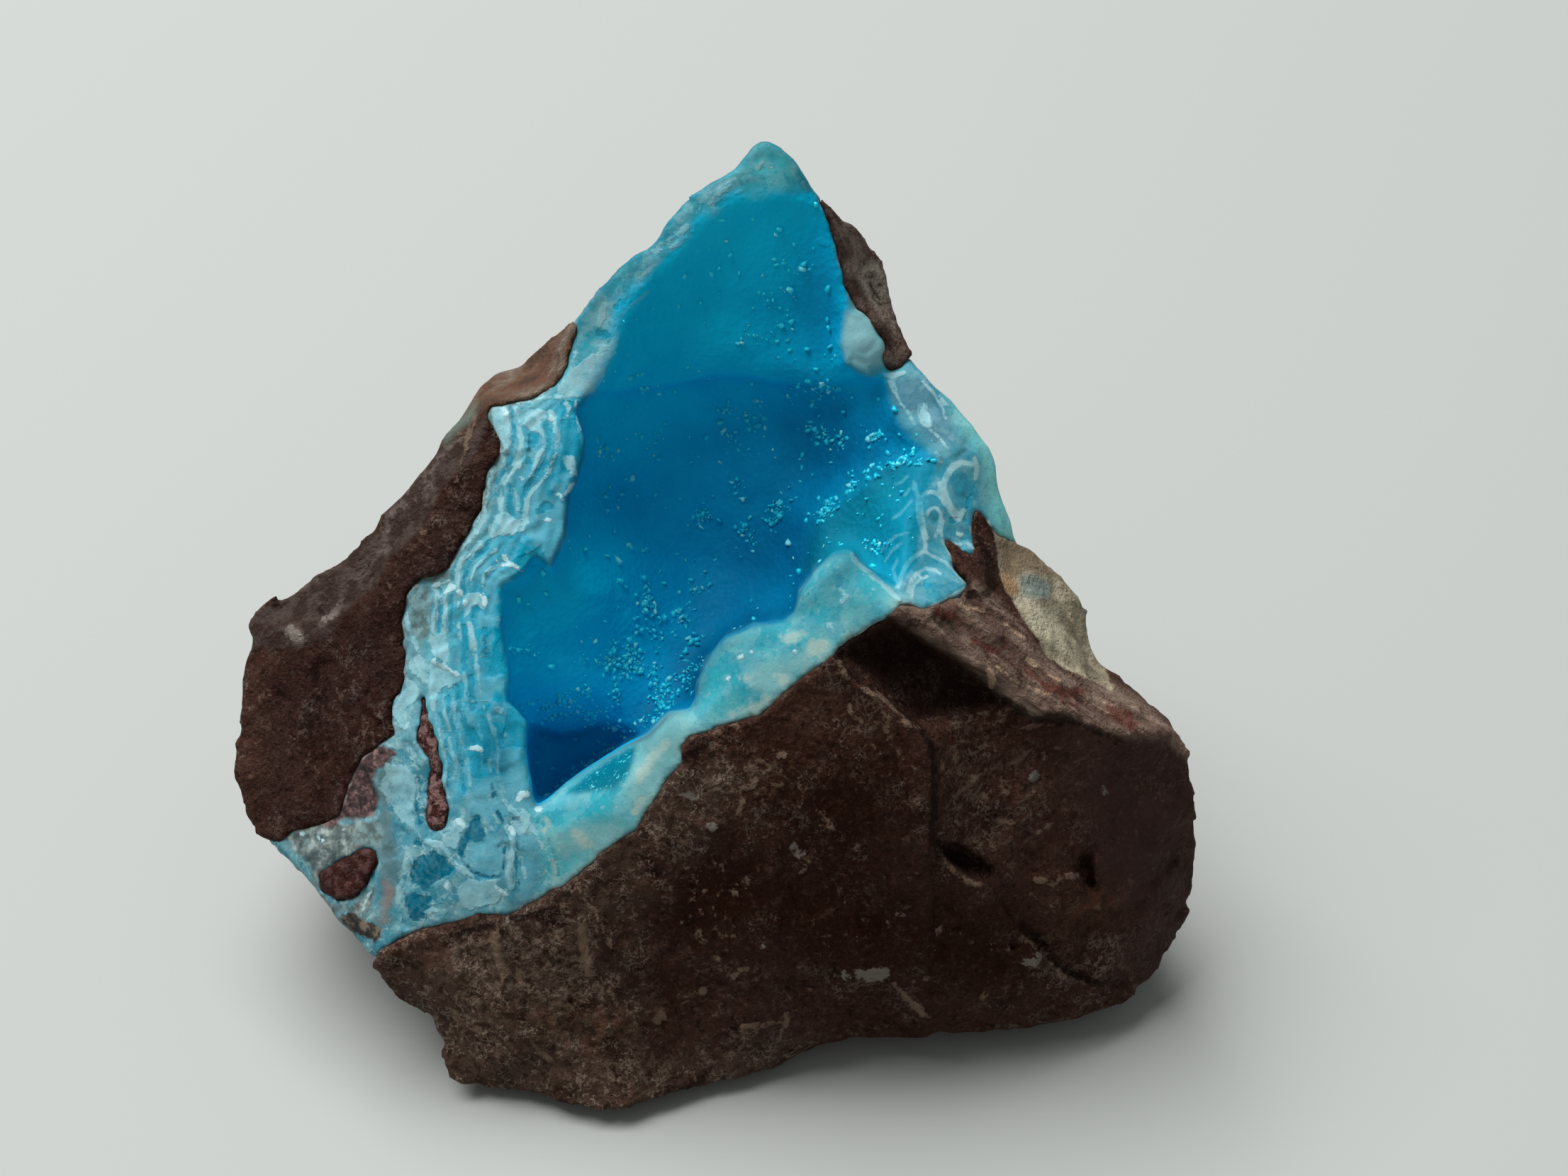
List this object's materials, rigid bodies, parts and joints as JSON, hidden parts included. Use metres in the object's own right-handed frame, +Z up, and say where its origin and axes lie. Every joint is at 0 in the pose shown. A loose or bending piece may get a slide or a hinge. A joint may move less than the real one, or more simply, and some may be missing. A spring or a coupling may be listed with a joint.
{
  "type": "hemimorphite mineral specimen",
  "caption": "Wedge of dark broken rock with an open vug lined by a thick blue banded hemimorphite crust, a free-standing display mineral.",
  "frame": {"origin": "middle of the footprint, on the surface the specimen rests on", "axes": "+Z up; +X to the right across the opening, along the longest side; -Y towards the side that the vug opens to"},
  "size_m": [0.0858, 0.0674, 0.0671],
  "materials": {
    "host_rock": "matt, fine-grained dark red-brown iron-rich rock with broken facets, pale flecks and thin veins",
    "hemimorphite": "waxy translucent blue crust, white and blue growth bands on its broken rim, fine crystal sparkle inside the hollow"
  },
  "bodies": {
    "root": {"host_rock": "host_rock", "hemimorphite_crust": "hemimorphite"}
  },
  "joints": []
}
